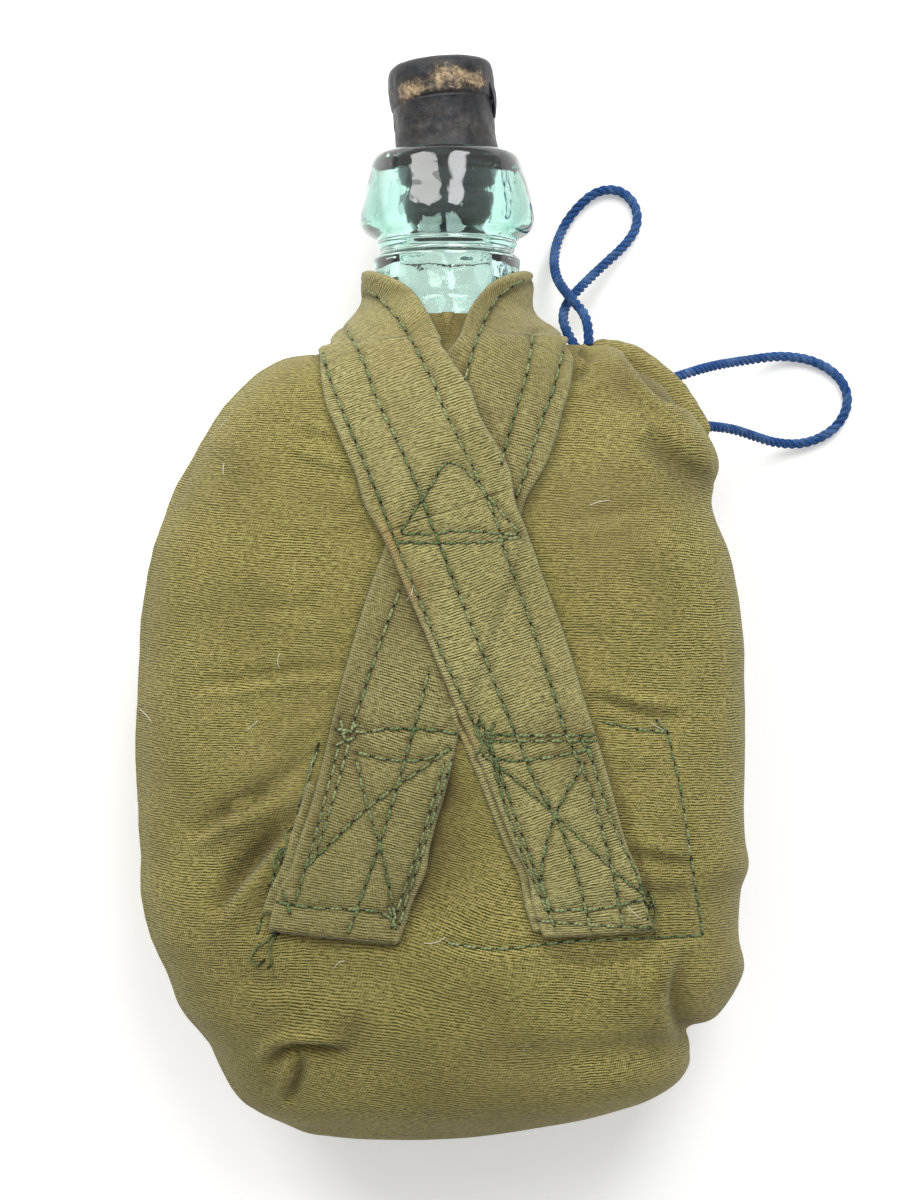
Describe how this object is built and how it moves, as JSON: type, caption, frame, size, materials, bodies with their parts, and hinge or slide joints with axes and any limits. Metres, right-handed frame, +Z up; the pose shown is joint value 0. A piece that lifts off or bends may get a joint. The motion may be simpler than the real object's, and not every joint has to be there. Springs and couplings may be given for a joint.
{
  "type": "glass canteen in cloth cover",
  "caption": "Flattened oval glass flask with a flanged neck and a rubber stopper, in a cloth drawstring cover held by crossed, box-stitched straps.",
  "frame": {"origin": "on the flat resting patch of the cover's back, under the neck's axis and under the widest part of the belly", "axes": "+Y along the neck towards the stopper, +Z up out of the side with the crossed straps, +X towards the side with the drawstring"},
  "size_m": [0.1676, 0.2439, 0.0746],
  "materials": {
    "bottle_glass": "gloss, pale aqua with bubbles",
    "stopper_rubber": "matt, scuffed",
    "cover_cloth": "olive cotton twill, worn",
    "strap_cloth": "olive cotton twill, two plies",
    "cord_yarn": "twisted blue yarn",
    "green_thread": "dark green sewing thread"
  },
  "bodies": {
    "canteen": {"glass_flask": "bottle_glass", "front_panel": "cover_cloth", "back_panel": "cover_cloth", "inside_patch": "cover_cloth", "neck_strap": "strap_cloth", "strap_extension": "strap_cloth", "mouth_casing": "cover_cloth", "drawstring_inner": "cord_yarn", "drawstring_top_loop": "cord_yarn", "drawstring_side_loop": "cord_yarn", "under_strap_stitching": "green_thread", "over_strap_stitching": "green_thread", "extension_stitching": "green_thread", "splice_stitching": "green_thread", "left_box_stitching": "green_thread", "right_box_stitching": "green_thread", "patch_stitching": "green_thread"},
    "stopper": {"rubber_stopper": "stopper_rubber"}
  },
  "joints": [
    {"name": "stopper_pull", "type": "slide", "parent": "canteen", "child": "stopper", "axis": [0, 1, 0], "range_m": [0, 0.05]}
  ]
}
